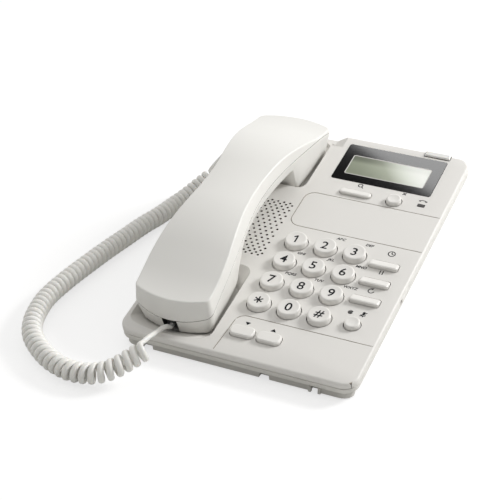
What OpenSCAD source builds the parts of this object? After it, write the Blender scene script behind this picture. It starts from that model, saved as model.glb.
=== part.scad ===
// Corded desk telephone with caller display, loudspeaker and curly handset cord.
// Units are millimetres. X is to the right, Y to the back, Z up from the table.
// Most pieces are drawn in the panel frame: x across, y up the slope, z out of the panel.

/* [Case] */
// Width of the case
body_w = 148; // [144:1:160]
// Length of the case along its sloping panel
body_l = 211.5; // [208:0.5:226]
// Slope of the panel in degrees
slope = 12; // [10:0.5:14]
// Height of the panel's front edge above the table
front_h = 12.8; // [12:0.2:16]
// Corner radius of the case, seen from above the panel
corner_r = 9; // [6:0.5:12]
// Rounding of the panel's rim
edge_r = 1.5; // [0.8:0.1:2.2]
// Thickness of the panel
panel_t = 2.5; // [2:0.1:2.8]
// Wall thickness of both case halves
wall = 2.5; // [2:0.1:2.8]
// Depth of the upper case half's lip
lip_h = 3.7; // [3.4:0.1:4.4]
// Width of the parting groove between the case halves
parting = 0.7; // [0.4:0.1:1]
// Height of the lower case half's flush band
band_h = 3.1; // [2.6:0.1:4]
// Depth of the upper case half's back skirt
skirt_h = 9; // [8:0.5:11]
// Depth of the lower case half under the panel
tub_h = 24; // [23:0.5:28]
// Step from the band in to the tub
tub_step = 1.9; // [1.8:0.1:2.2]
// Lean of the tub's side walls in degrees
tub_lean = 40; // [36:1:44]
// Thickness of the tub's floor
floor_t = 1.8; // [1.4:0.1:2]

/* [Stand] */
// Height of the stand's front edge, with its feet
tray_h = 4.4; // [4.2:0.1:5]
// Gap that the feet hold under the stand
foot_lift = 0.8; // [0.4:0.1:1.2]
// Diameter of a rubber foot
foot_d = 11; // [8:0.5:14]
// Step from the case's front in to the stand
stand_step = 2; // [1.5:0.5:4]
// Width of the stand at its front
stand_front_w = 142; // [130:1:143]
// Width of the stand at its back
stand_back_w = 84; // [76:1:90]
// Distance from the case's back edge to the stand's back wall
stand_back_gap = 20; // [14:1:30]
// Wall thickness of the stand
stand_wall = 2.4; // [1.8:0.1:3]

/* [Keys] */
// Distance from key to key
key_pitch = 19; // [18:0.5:20]
// Diameter of a dial key
key_d = 14.5; // [12:0.5:15]
// Height of a dial key above the panel
key_h = 3.8; // [3:0.2:5]
// Gap all round a key
key_gap = 0.4; // [0.3:0.05:0.5]
// Travel of a key
key_travel = 1.8; // [1:0.1:1.9]
// Distance from the case's right side to the middle of the keypad
keypad_side = 57.5; // [57:0.5:59]
// Middle of the keypad along the panel
keypad_y = -32.5; // [-34:0.5:-31]
// Height of the function keys at their front
bar_h = 3; // [2.4:0.1:3.6]
// Height of the function keys at their back
bar_back_h = 0.8; // [0.6:0.1:1.6]
// Width of a function key
bar_w = 18; // [16:0.5:18.5]
// Depth of a function key
bar_d = 7; // [6:0.5:8]
// Diameter of a small round key
small_key_d = 10; // [9:0.2:11]
// Height of a small round key
small_key_h = 2.8; // [2:0.2:4]
// Width of the search key
search_w = 20.5; // [18:0.5:22]
// Width of a volume key
volume_w = 14.6; // [13:0.2:15]
// Depth of a volume key
volume_d = 8.4; // [7:0.2:9]

/* [Display] */
// Width of the display window
window_w = 66.4; // [62:0.2:70]
// Depth of the display window
window_d = 36.3; // [34:0.1:38]
// Thickness of the display window
window_t = 1.5; // [1.2:0.1:1.8]
// Width of the visible part of the display
view_w = 52.4; // [46:0.2:54]
// Depth of the visible part of the display
view_d = 18.6; // [16:0.2:20]
// Width of the message lamp's lens
lamp_w = 16.8; // [14:0.2:20]
// Depth of the message lamp's lens
lamp_d = 4.6; // [4:0.1:4.8]

/* [Cradle] */
// Distance from the case's left side to the middle of the handset
cradle_side = 29.3; // [29:0.1:29.6]
// Middle of the handset along the panel
cradle_y = 4.5; // [3:0.5:5]
// Gap between the handset's side and its well
cradle_gap = 1.2; // [0.8:0.1:1.4]
// Depth of the wells below the panel
well_h = 8.5; // [8:0.1:8.8]
// Wall thickness of the wells
well_wall = 1.5; // [1.2:0.1:1.6]
// Drop of the back rim behind the earpiece
rim_drop = 5.5; // [4:0.5:6]
// Travel of the hook plunger
hook_travel = 4; // [3:0.5:5]

/* [Handset] */
// Length of the handset
hs_l = 198; // [190:1:199]
// Width of the handset's two ends
hs_w = 50.4; // [47:0.2:50.6]
// Width of the grip at its waist
grip_w = 37; // [33:0.5:40]
// Height of the grip's back above the panel
grip_top = 33; // [31:0.5:36]
// Height of the grip's underside above the panel
grip_under = 13; // [12:0.5:15]
// Tilt of the handset's back: its fall per millimetre towards the earpiece
back_tilt = 0.045; // [0:0.005:0.06]
// Bow of the handset's ends, seen from above
end_bow = 6.5; // [5:0.5:8]
// Corner radius of the handset's ends, seen from above
end_r = 9; // [7:0.5:11]
// Crown across the handset's back
crown = 1.6; // [1:0.2:3]
// Height of the parting line at the middle of the grip
seam_top = 23.8; // [22:0.2:25]
// Drop of the parting line from the grip to the ends
seam_drop = 19.6; // [18:0.2:21]
// Gap under the resting handset
rest_gap = 0.3; // [0.2:0.05:0.5]
// Width of the jack recess in the mouthpiece end
recess_w = 9.5; // [9:0.1:11]
// Diameter of the receiver capsule
receiver_d = 30; // [26:1:34]

/* [Loudspeaker] */
// Diameter of the loudspeaker
speaker_d = 49.6; // [44:0.4:52]
// Diameter of a grille hole
grille_hole_d = 1.6; // [1:0.1:1.8]
// Distance between grille holes in a row
grille_pitch = 4.1; // [3.8:0.1:4.6]
// Rows of grille holes on each side of the middle row
grille_rows = 9; // [6:1:9]

/* [Cord] */
// Diameter of the cord
cord_d = 3.4; // [2.6:0.1:3.4]
// Outer diameter of the curls
curl_d = 13; // [11:0.5:14]
// Number of curls
curls = 68; // [60:1:70]

/* [Hidden] */
$fn = 48;

// Panel frame: its origin is the middle of the panel's upper face
panel_y = -(skirt_h + edge_r) * sin(slope) / 2;
panel_z = front_h + body_l / 2 * sin(slope);
half_w = body_w / 2;
half_l = body_l / 2;
cradle_x = -half_w + cradle_side;
keypad_x = half_w - keypad_side;

// Gap between two moulded pieces of the case
part_gap = 0.3;

// Levels below the panel
tub_upright = well_h + 1.7;
band_top = -(lip_h + parting);
band_low = band_top - band_h;
key_flange_top = -(panel_t + 0.4);
key_flange_low = key_flange_top - 1.5;
key_lip = 0.8;
key_dish = 0.35;
mat_top = key_flange_low - key_travel - 0.2;
mat_t = 1.6;
pcb_top = mat_top - mat_t;
pcb_t = 1.6;
pcb_low = pcb_top - pcb_t;

// Tub floor: level where it is near the table, parallel to the panel behind that
function panel_level(y, up) = (up - panel_z - y * sin(slope)) / cos(slope);
floor_turn = (tray_h - panel_z + tub_h * cos(slope)) / sin(slope);

// Case screws clamp the board between the upper half's bosses and the lower half's posts
boss_d = 7;
screw_d = 3;
screw_l = 11;
screw_places = [[-8, 32.75 - half_l], [half_w - 26, 32.75 - half_l], [-8, half_l - 47.75],
    [half_w - 24, half_l - 47.75]];

// Places on the panel
bar_x = half_w - 18.6;
bar_y = [-6.8, -22.9, -39];
mute_y = -59.9;
mute_led_place = [half_w - 23.4, -50.2];
search_place = [half_w - 59, half_l - 54];
delete_place = [half_w - 33.5, half_l - 54.2];
in_use_place = [half_w - 16.1, half_l - 52.75];
window_place = [half_w - 46.9, half_l - 25.15];
view_place = [half_w - 47.1, half_l - 27];
lamp_x = half_w - 21.9;
lamp_h = 2.2;
volume_x = [-1.8, 14.8];
volume_y = -86.2;
ringer_y = -22.5;
ringer_slot = [3.2, 15, 3.6];
ringer_knob = [3, 11.4, 3];
line_jack_x = half_w - 44;
base_jack_y = 70;
base_jack_h = -15.6;
hook_place = [cradle_x, cradle_y + 82.5];
speaker_y = cradle_y - 0.2;
jack_size = [12, 13, 10];
jack_floor = 1.5;
plug_size = [7.6, 8, 6.6];
plug_depth = 10;
base_jack_x = half_w - 12;

// Handset
cup_under = -well_h + rest_gap;
tip_s = hs_l / 2;
bow_r = (pow(hs_w / 2, 2) + pow(end_bow, 2)) / (2 * end_bow);
bow_s = tip_s - bow_r;
corner_x = hs_w / 2 - end_r;
corner_s = bow_s + sqrt(pow(bow_r - end_r, 2) - pow(corner_x, 2));
join_angle = asin(corner_x / (bow_r - end_r));
arch_flat = 18;
arch_r = 120;
arch_angle = 20;
flare_s = 76;
flare = 0.006;
waist_l = 76;
crease_r = 1.2;
back_draft = 0.12;

// ---------- outlines ----------

// Corner points of an arc about c, from angle a to angle b
function arc(c, r, a, b, n = 6)
    = [for (i = [0:n]) c + r * [cos(a + (b - a) * i / n), sin(a + (b - a) * i / n)]];

// Rounded rectangle about the origin
function pill(w, d, r) = concat(
    arc([w / 2 - r, d / 2 - r], r, 0, 90), arc([-w / 2 + r, d / 2 - r], r, 90, 180),
    arc([-w / 2 + r, -d / 2 + r], r, 180, 270), arc([w / 2 - r, -d / 2 + r], r, 270, 360));

// Outline of the case, drawn in by a step
module case_outline(step = 0) {
    polygon(pill(body_w - 2 * step, body_l - 2 * step, max(corner_r - step, 0.5)));
}

// Outline of a well with a bowed front; the four margins are measured from the handset's axis and middle
function well_outline(side, front, back, bow, r) =
    let (R = (side * side + bow * bow) / (2 * bow), cy = front + R,
         cx = side - r, cc = cy - sqrt(pow(R - r, 2) - cx * cx), t = acos(cx / (R - r)))
    concat(
        arc([side - r, back - r], r, 0, 90), arc([-side + r, back - r], r, 90, 180),
        arc([-cx, cc], r, 180, 180 + t), arc([0, cy], R, 180 + t, 360 - t, 10),
            arc([cx, cc], r, 360 - t, 360));

// ---------- frames and repeated shapes ----------

module panel() {
    translate([0, panel_y, panel_z]) rotate([slope, 0, 0]) children();
}

module slab(low, high) {
    translate([0, 0, low]) linear_extrude(high - low) children();
}

// Key with a round cap, a rounded rim and a flange that holds it under the panel
module round_key(d, h) {
    rim = 1;
    dish_w = d / 2 - rim - 0.3;
    dish_r = (pow(dish_w, 2) + pow(key_dish, 2)) / (2 * key_dish);
    turn = asin(dish_w / dish_r);
    dish = arc([0, h - key_dish + dish_r], dish_r, turn - 90, turn / 4 - 90, 3);
    rotate_extrude() polygon(concat(
        [[0, key_flange_low], [d / 2 + 1.2, key_flange_low], [d / 2 + 1.2, key_flange_top],
         [d / 2, key_flange_top]],
        arc([dish_w, h - rim], rim, 0, 67.5, 3),
        dish, [[0, dish[3][1]]]));
}

// Key with an oblong cap that rises from its back to its front; the hull gives its softened rim
module bar_key(w, d, r, h, back) {
    rim = 0.8;
    rise = atan2(h - back, d);
    intersection() {
        hull() {
            slab(key_flange_top, back - rim) polygon(pill(w, d, r));
            translate([0, 0, (h + back) / 2]) rotate([-rise, 0, 0]) {
                slab(-rim, -rim + 0.01) polygon(pill(w, d + 0.4, r));
                slab(-rim * 0.3, -rim * 0.3 + 0.01) polygon(pill(w - rim, d - rim, r - rim / 2));
                slab(-0.01, 0) polygon(pill(w - 2 * rim, d - 2 * rim, max(r - rim, 0.3)));
            }
        }
        slab(-10, 10) polygon(pill(w, d, r));
    }
    slab(key_flange_low, key_flange_top) polygon(pill(w + 2 * key_lip, d + 2 * key_lip, r + key_lip));
}

function key_place(column, row) = [keypad_x + (column - 1) * key_pitch, keypad_y + (1.5 - row) * key_pitch];

module dial_key(column, row) {
    color("gainsboro") panel() translate(key_place(column, row)) round_key(key_d, key_h);
}

module at_panel(place) {
    panel() translate(place) children();
}

// ---------- upper case half ----------

mouth_front = -hs_l / 2 - 6.7;
mouth_back = -37;
ear_front = 41.7;
ear_back = half_l - cradle_y - 3.2;
well_lean = 3.4;
rim_y = cradle_y + ear_back - 0.5;
ramp_end = cradle_x + hs_w / 2 + 10.5;

module mouth_well(grow, deep) {
    side = hs_w / 2 + cradle_gap;
    translate([cradle_x, cradle_y]) hull() {
        slab(-0.01, 0.5) polygon(well_outline(side + grow, mouth_front - grow, mouth_back + grow, 4.5,
            7 + grow));
        slab(-deep, -deep + 0.01)
            polygon(well_outline(side + grow - well_lean, mouth_front + 12 - grow,
                mouth_back - 11 + grow, 4.5, 8 + grow));
    }
}

module ear_well(grow, deep) {
    w = hs_w + 2 * cradle_gap + 2 * grow;
    d = ear_back - ear_front + 2 * grow;
    translate([cradle_x, cradle_y + (ear_front + ear_back) / 2]) hull() {
        slab(-0.01, 0.5) polygon(pill(w, d, 6 + grow));
        slab(-deep, -deep + 0.01) translate([0, 1.5]) polygon(pill(w - 2 * well_lean, d - 5, 5 + grow));
    }
}

// Rows of grille holes: each row steps along the panel as the sine of its place
module grille_holes() {
    half = speaker_d / 2 + 1.2;
    for (row = [-grille_rows:grille_rows])
        let (y = 30 * sin(3.4 * row / 30 * 180 / PI), shift = row % 2 == 0 ? 0 : grille_pitch / 2)
            for (x = [half - shift:-grille_pitch:-half])
                translate([cradle_x + x, speaker_y + y, -panel_t - 1])
                    cylinder(d = grille_hole_d, h = panel_t + 2);
}

module groove(points, deep = 0.35, w = 0.5) {
    for (i = [0:len(points) - 2])
        let (a = points[i], b = points[i + 1], l = norm(b - a), t = atan2(b[1] - a[1], b[0] - a[0]))
            translate([a[0], a[1], -deep]) rotate(t) translate([-w / 2, -w / 2, 0])
                cube([l + w, w, deep + 1]);
}

module grooves() {
    right = half_w - edge_r;
    groove(concat([[right, 45]], arc([-7.8, 38], 7, 90, 180, 5), arc([-7.8, 18.5], 7, 180, 270, 5),
        [[right, 11.5]]));
    groove(concat([[right, -72.5]], arc([-4.5, -78.5], 6, 90, 172, 5), [[-12.6, -half_l + edge_r]]));
}

module key_openings() {
    for (column = [0:2], row = [0:3])
        translate(key_place(column, row)) cylinder(d = key_d + 2 * key_gap, h = 20, center = true);
    for (y = bar_y)
        translate([bar_x, y]) slab(-10, 2)
            polygon(pill(bar_w + 2 * key_gap, bar_d + 2 * key_gap, 1.6 + key_gap));
    for (place = [[bar_x, mute_y], delete_place])
        translate(place) cylinder(d = small_key_d + 2 * key_gap, h = 20, center = true);
    translate(search_place) slab(-10, 2)
        polygon(pill(search_w + 2 * key_gap, 6 + 2 * key_gap, 2.4 + key_gap));
    for (x = volume_x)
        translate([x, volume_y]) slab(-10, 2)
            polygon(pill(volume_w + 2 * key_gap, volume_d + 2 * key_gap, 3 + key_gap));
    translate(mute_led_place) cylinder(d = 3.3, h = 20, center = true);
    translate(in_use_place) slab(-10, 2) polygon(pill(4.9, 2.9, 0.6));
}

module display_opening() {
    translate(window_place) slab(-window_t, 2) polygon(pill(window_w + 0.4, window_d + 0.4, 1.7));
    translate(view_place) slab(-10, 1) polygon(pill(view_w + 5, view_d + 5, 1));
    translate([lamp_x - lamp_w / 2 - 0.3, half_l - lamp_d - 0.5, -lamp_h])
        cube([lamp_w + 0.6, lamp_d + 2, 10]);
}

module back_rim_drop() {
    right = cradle_x + hs_w / 2 + cradle_gap;
    left = cradle_x - hs_w / 2 - cradle_gap;
    translate([0, half_l - 12, 0]) rotate([-90, 0, 0]) linear_extrude(14)
        polygon([[left, rim_drop], [right, rim_drop], [right + 8, 0], [right + 8, -1], [left - 1, -1]]);
}

// Block under the ramp beside the lowered back rim
module ramp_block(gap) {
    translate([ramp_end - 10.5 - gap, half_l - 12 - gap, 1.2 - skirt_h - gap])
        cube([10.5 + 2 * gap, 11 + gap, skirt_h - 2.2 + gap]);
}

module top_case() {
    color("whitesmoke") panel() difference() {
        union() {
            difference() {
                union() {
                    hull() {
                        slab(-lip_h, -edge_r) case_outline();
                        slab(-edge_r * 0.5, -edge_r * 0.5 + 0.01) case_outline(edge_r * 0.134);
                        slab(-edge_r * 0.134, -edge_r * 0.134 + 0.01) case_outline(edge_r * 0.5);
                        slab(-0.01, 0) case_outline(edge_r);
                    }
                    slab(band_top, -lip_h) case_outline(1);
                    intersection() {
                        slab(-skirt_h, -lip_h) case_outline();
                        translate([-half_w, half_l - wall, -20]) cube([body_w, 10, 20]);
                    }
                }
                slab(band_top - 1, -panel_t) case_outline(wall);
            }
            mouth_well(well_wall, well_h + well_wall);
            intersection() {
                ear_well(well_wall, well_h + well_wall);
                translate([-half_w, 0, -20]) cube([body_w, half_l - 0.2, 20]);
            }
            intersection() {
                slab(-skirt_h + 0.2, -1) case_outline(1);
                translate([-half_w, rim_y, -20]) cube([half_w - 14, 20, 40]);
            }
            ramp_block(0);
            for (place = screw_places) translate([place[0], place[1], pcb_top])
                cylinder(d = boss_d, h = -panel_t - pcb_top + 0.5);
        }
        slab(0, 2) square([2 * body_w, 2 * body_l], center = true);
        mouth_well(0, well_h);
        ear_well(0, well_h);
        translate(hook_place) slab(-20, 1) polygon(pill(8.4, 5.4, 1.2));
        back_rim_drop();
        key_openings();
        display_opening();
        grille_holes();
        grooves();
        for (place = screw_places) translate([place[0], place[1], pcb_top - 1])
            cylinder(d = screw_d - 0.4, h = 5);
        ringer_pocket();
    }
}

module ringer_pocket() {
    translate([half_w - ringer_slot[0], ringer_y - ringer_slot[1] / 2, -6.2]) cube(ringer_slot);
}

// ---------- lower case half ----------

// Tub between its upright and leaning sides, its front and back walls and its two floors
module tub(inset, top, lift = 0) {
    lean = tan(tub_lean);
    side = half_w - tub_step - inset;
    low = tub_h - lift;
    turn = (tray_h + lift - panel_z + low * cos(slope)) / sin(slope);
    front = -half_l + stand_step + inset;
    foot = side - (low - tub_upright) * lean;
    intersection() {
        translate([0, half_l, 0]) rotate([90, 0, 0]) linear_extrude(body_l) polygon([
            [-side, top], [side, top], [side, -tub_upright], [foot, -low], [-foot, -low],
                [-side, -tub_upright]]);
        translate([-half_w, 0, 0]) rotate([90, 0, 90]) linear_extrude(body_w) polygon([
            [front, top], [half_l - stand_step - inset, top], [half_l - stand_step - inset - 2, -low],
            [turn, -low], [front, panel_level(front, tray_h + lift)]]);
        slab(-tub_h - 1, top + 1) case_outline(tub_step + inset);
    }
}

module jack_pocket(grow) {
    translate([-half_w - 1, base_jack_y - 8 - grow, base_jack_h - 6.5 - grow])
        cube([half_w - base_jack_x + 1 + grow, 16 + 2 * grow, 13 + 2 * grow]);
}

module bottom_case() {
    color("gainsboro") panel() difference() {
        union() {
            difference() {
                union() {
                    slab(band_low, band_top) case_outline(0.2);
                    tub(0, band_low + 0.5);
                }
                slab(band_low + 2, 1) case_outline(wall);
                tub(wall, 1, floor_t);
            }
            intersection() {
                tub(0.5, pcb_low + 1, 0.5);
                union() {
                    jack_pocket(1.6);
                    for (place = screw_places) translate([place[0], place[1], -tub_h])
                        cylinder(d = boss_d + 2, h = tub_h + pcb_low);
                }
            }
        }
        translate([-half_w - 1, half_l - wall - 0.3, -skirt_h - 0.2]) cube([body_w + 2, 10, 20]);
        translate([2.7 - half_w, rim_y - part_gap, -skirt_h - 0.2])
            cube([ramp_end + part_gap + half_w - 2.7, 10, 20]);
        translate([line_jack_x - jack_size[1] / 2 - 0.2, half_l - 8, pcb_low - jack_size[2] - 0.2])
            cube([jack_size[1] + 0.4, 10, jack_size[2] + 0.4]);
        translate([-base_jack_x, base_jack_y - jack_size[1] / 2 - 0.2,
            base_jack_h - jack_size[2] / 2 - 0.2])
            cube([12, jack_size[1] + 0.4, jack_size[2] + 0.4]);
        mouth_well(well_wall + part_gap, well_h + well_wall + part_gap);
        ear_well(well_wall + part_gap, well_h + well_wall + part_gap);
        ramp_block(part_gap);
        jack_pocket(0);
        ringer_pocket();
        for (place = screw_places) translate([place[0], place[1], -40]) {
            cylinder(d = screw_d + 0.4, h = 50);
            cylinder(d = screw_d + 3.4, h = 40 + screw_head);
        }
    }
}

screw_head = pcb_low - 3;

module case_screws() {
    color("silver") panel() for (place = screw_places) translate([place[0], place[1], screw_head]) {
        translate([0, 0, -2]) cylinder(d = screw_d + 2.6, h = 2);
        cylinder(d = screw_d, h = 3 + pcb_t - 0.1);
    }
}

// ---------- desk stand ----------

stand_front = panel_y - half_l * cos(slope) + stand_step + 1.6;
stand_back = panel_y + (half_l - stand_back_gap) * cos(slope);
turn_y = panel_y + floor_turn * cos(slope) + tub_h * sin(slope);
back_level = tray_h + (stand_back - turn_y) * tan(slope);

notch_x = [18.6, -55.4];
clip_x = 49.5;

module stand_plan(step) {
    r = 7 - step;
    polygon(concat(
        arc([stand_back_w / 2 - 7, stand_back - 7], r, 10, 90),
            arc([-stand_back_w / 2 + 7, stand_back - 7], r, 90, 170),
        arc([-stand_front_w / 2 + 7, stand_front + 7], r, 190, 270),
            arc([stand_front_w / 2 - 7, stand_front + 7], r, 270, 350)));
}

module stand_profile(low) {
    translate([-half_w, 0, 0]) rotate([90, 0, 90]) linear_extrude(body_w) polygon([
        [stand_front - 1, low], [stand_back + 1, low], [stand_back + 1, back_level + tan(slope)],
        [turn_y, tray_h], [stand_front - 1, tray_h]]);
}

module desk_stand() {
    color("silver") difference() {
        intersection() {
            slab(foot_lift, 80) stand_plan(0);
            stand_profile(foot_lift);
        }
        slab(foot_lift + 2, 80) stand_plan(stand_wall);
        for (x = notch_x) translate([x, stand_front - 1, foot_lift - 1]) rotate([-90, 0, 0])
            linear_extrude(stand_wall + 2) polygon([[-2.5, -6], [2.5, -6], [3.7, 2], [-3.7, 2]]);
        translate([clip_x - 2.4, stand_front - 1, foot_lift - 1]) cube([4.8, stand_wall + 2, 8]);
        for (place = feet) translate([place[0], place[1], 0]) cylinder(d = foot_d + 0.4, h = foot_lift + 1);
    }
    color("silver") for (side = [-1, 1])
        translate([clip_x + side * 2.9 - 0.8, stand_front - 0.8, foot_lift - 0.4])
            cube([1.6, 2, tray_h - foot_lift + 0.2]);
}

feet = [[-50, stand_front + 16], [50, stand_front + 16], [-32, stand_back - 12], [32, stand_back - 12]];

module rubber_feet() {
    color("dimgray") for (place = feet) translate([place[0], place[1], 0])
        cylinder(d = foot_d, h = foot_lift + 1);
}

// ---------- display and lamps ----------

module display_window() {
    color("black") panel() difference() {
        translate(window_place) slab(-window_t, 0.2) polygon(pill(window_w, window_d, 1.5));
        translate(view_place) slab(-3, 2) polygon(pill(view_w, view_d, 0.8));
    }
}

module lcd_panel() {
    color("darkseagreen") at_panel(view_place) {
        slab(-window_t - 1.2, -window_t) polygon(pill(view_w + 4, view_d + 4, 0.6));
        slab(pcb_top, -window_t - 1.2) polygon(pill(view_w + 2, view_d + 2, 0.6));
    }
}

module message_lamp() {
    color("white") panel() translate([lamp_x, half_l - lamp_d / 2 - 0.2, 0]) hull() {
        slab(-lamp_h, 0.6) square([lamp_w, lamp_d], center = true);
        slab(1.2, 1.3) square([lamp_w - 1.4, lamp_d - 1.4], center = true);
    }
}

module in_use_led() {
    color("tomato") at_panel(in_use_place) slab(pcb_top, 0.2) polygon(pill(4.5, 2.5, 0.4));
}

module mute_led() {
    color("tomato") at_panel(mute_led_place) {
        slab(pcb_top, 0) circle(d = 3);
        difference() {
            translate([0, 0, -1.6]) sphere(r = 2.2);
            slab(-5, 0) square(8, center = true);
        }
    }
}

// ---------- function keys ----------

module memory_key() {
    color("gainsboro") at_panel([bar_x, bar_y[0]]) bar_key(bar_w, bar_d, 1.6, bar_h, bar_back_h);
}
module flash_key() {
    color("gainsboro") at_panel([bar_x, bar_y[1]]) bar_key(bar_w, bar_d, 1.6, bar_h, bar_back_h);
}
module redial_key() {
    color("gainsboro") at_panel([bar_x, bar_y[2]]) bar_key(bar_w, bar_d, 1.6, bar_h, bar_back_h);
}
module mute_key() { color("gainsboro") at_panel([bar_x, mute_y]) round_key(small_key_d, small_key_h); }
module search_key() {
    color("gainsboro") at_panel(search_place) bar_key(search_w, 6, 2.4, 2.2, bar_back_h);
}
module delete_key() { color("gainsboro") at_panel(delete_place) round_key(small_key_d, small_key_h); }
module volume_down_key() {
    color("gainsboro") at_panel([volume_x[0], volume_y]) bar_key(volume_w, volume_d, 3, 2.6, 2);
}
module volume_up_key() {
    color("gainsboro") at_panel([volume_x[1], volume_y]) bar_key(volume_w, volume_d, 3, 2.6, 2);
}

// ---------- board and what stands on it ----------

board_x = [-13, half_w - 8];
board_y = [13.75 - half_l, half_l - 7.75];

// Oblong from one corner to the other
module mat_pad(a, b) {
    translate(a) square(b - a);
}

module keypad_mat() {
    color("lightslategray") panel() difference() {
        slab(pcb_top, mat_top) {
            mat_pad([board_x[0] + 1, mute_y - small_key_d / 2 - 4.6],
                [board_x[1], keypad_y + 1.5 * key_pitch + key_d / 2 + 0.3]);
            mat_pad(search_place - [search_w / 2 + 2.5, 5], delete_place + [small_key_d / 2 + 0.5, 6]);
            mat_pad([volume_x[0] - volume_w / 2 - 1.5, volume_y - 5.8],
                [volume_x[1] + volume_w / 2 + 1.5, volume_y + 6.2]);
        }
        translate(mute_led_place) cylinder(d = 4, h = 40, center = true);
    }
}

module main_pcb() {
    color("darkgreen") panel() difference() {
        slab(pcb_low, pcb_top) mat_pad([board_x[0], board_y[0]], [board_x[1], board_y[1]]);
        for (place = screw_places) translate(place) cylinder(d = screw_d + 0.4, h = 40, center = true);
    }
}

module loudspeaker() {
    color("dimgray") panel() translate([cradle_x, speaker_y, -panel_t]) difference() {
        union() {
            translate([0, 0, -4]) cylinder(d = speaker_d, h = 4);
            translate([0, 0, -9]) cylinder(d1 = 26, d2 = speaker_d - 4, h = 5);
            translate([0, 0, -14]) cylinder(d = 24, h = 6);
        }
        translate([0, 0, -7]) cylinder(d1 = 18, d2 = speaker_d - 8, h = 7.01);
    }
}

module hook_switch() {
    low = -well_h - well_wall;
    color("dimgray") at_panel(hook_place) difference() {
        slab(low - 9, low) square([14, 10], center = true);
        slab(low - 7.5, 1) polygon(pill(8.4, 5.4, 1.2));
    }
}

module hook_plunger() {
    low = -well_h - well_wall;
    color("whitesmoke") at_panel(hook_place) slab(low - 7, cup_under) polygon(pill(8, 5, 1));
}

module ringer_switch() {
    color("gainsboro") panel() translate([half_w - 0.2 - ringer_knob[0],
        ringer_y + ringer_slot[1] / 2 - ringer_knob[1] - 0.2, -5.9])
        cube(ringer_knob);
}

// Jack with its socket towards -Y, mouth at the origin
module jack_block() {
    difference() {
        translate([-jack_size[1] / 2, 0, -jack_size[2] / 2])
            cube([jack_size[1], jack_size[0], jack_size[2]]);
        translate([-4.9, -1, -3.5]) cube([9.8, plug_depth + 1, 7]);
        translate([-2, -1, -4.6]) cube([4, plug_depth + 1, 2]);
    }
}

module line_jack() {
    color("dimgray") panel() translate([line_jack_x, half_l - stand_step - 1.4, pcb_low - jack_size[2] / 2])
        rotate([0, 0, 180]) jack_block();
}

module base_jack() {
    color("dimgray") panel() translate([-base_jack_x, base_jack_y, base_jack_h]) rotate([0, 0, -90])
        jack_block();
}

// ---------- handset ----------

// Half width of the handset at a distance s along it from its middle
function waist(s) = grip_w / 2 + (hs_w - grip_w) / 4 * (1 - cos(180 * min(abs(s) / waist_l, 1)));

// Height of the back: flat, then an arc, then a fall that eases a little towards the end
function back_height(s) = let (a = max(abs(s) - arch_flat, 0), turn = arch_r * sin(arch_angle))
    grip_top - back_tilt * s + flare * pow(max(abs(s) - flare_s, 0), 2)
    - (a < turn ? arch_r - sqrt(arch_r * arch_r - a * a)
                : arch_r * (1 - cos(arch_angle)) + (a - turn) * tan(arch_angle));

// Height of the parting line
function seam_height(s) = let (t = abs(s) / tip_s)
    seam_top - seam_drop * (0.56 * pow(t, 2) + 0.44 * pow(t, 4));

// Where the step from the grip down to each cup begins and ends
mic_cup = [-30, -52];
ear_cup = [40, 49];

// Height of the underside: grip, then a smooth step down to each cup
function ease(x) = let (t = min(max(x, 0), 1)) t * t * (3 - 2 * t);
function under_height(s) = grip_under + (cup_under - grip_under)
    * ease((s < 0 ? mic_cup[0] - s : s - ear_cup[0]) /
    (s < 0 ? mic_cup[0] - mic_cup[1] : ear_cup[1] - ear_cup[0]));

// Places round the outline seen from above: half width, distance along, and the outward way
corner_steps = 4;
bow_steps = 5;
function steps(a, b, n) = [for (i = [1:n]) a + (b - a) * i / n];
inner_places = concat(
    steps(-corner_s, mic_cup[1], 5), steps(mic_cup[1], mic_cup[0], 8), steps(mic_cup[0], ear_cup[0], 8),
    steps(ear_cup[0], ear_cup[1], 6), steps(ear_cup[1], corner_s, 5));
function round_place(side, r, x, s, a) = [x + r * sin(a), side * (s + r * cos(a)), sin(a), side * cos(a)];
function end_places(side) = concat(
    [for (i = [0:corner_steps]) round_place(side, end_r, corner_x, corner_s, 90 - (90 - join_angle)
        * i / corner_steps)],
    [for (i = [1:bow_steps]) round_place(side, bow_r, 0, bow_s, join_angle + (3 - join_angle)
        * i / bow_steps)]);
function reversed(v) = [for (i = [len(v) - 1:-1:0]) v[i]];
places = concat(
    reversed(end_places(-1)),
    [for (i = [0:len(inner_places) - 2]) [waist(inner_places[i]), inner_places[i], 1, 0]],
    end_places(1));

// Point drawn in from the outline at place p by a step
function drawn_in(p, step, h) = [p[0] - p[2] * step, p[1] - p[3] * step, h];

// Right half of the back shell at place p, from the seam to the middle; the back is crowned across
function crowned(x, s) = back_height(s) + crown * (1 - pow(s / tip_s, 4)) * (1 - pow(x / waist(s), 2));
function back_half(p) =
    let (m = seam_height(p[1]), r = crease_r, d = (back_height(p[1]) - r - m) * back_draft,
         edge = drawn_in(p, d + r, 0))
    concat([drawn_in(p, 0, m)],
           [for (i = [0:2]) let (q = drawn_in(p, d + r * (1 - cos(45 * i)), 0))
               [q[0], q[1], crowned(edge[0], edge[1]) - r * (1 - sin(45 * i))]],
           [for (k = [0.75, 0.5, 0.25, 0]) [edge[0] * k, edge[1], crowned(edge[0] * k, edge[1])]]);
function back_section(p) = let (half = back_half(p), n = len(half))
    concat(half, [for (i = [n - 2:-1:0]) [-half[i][0], half[i][1], half[i][2]]]);

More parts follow.
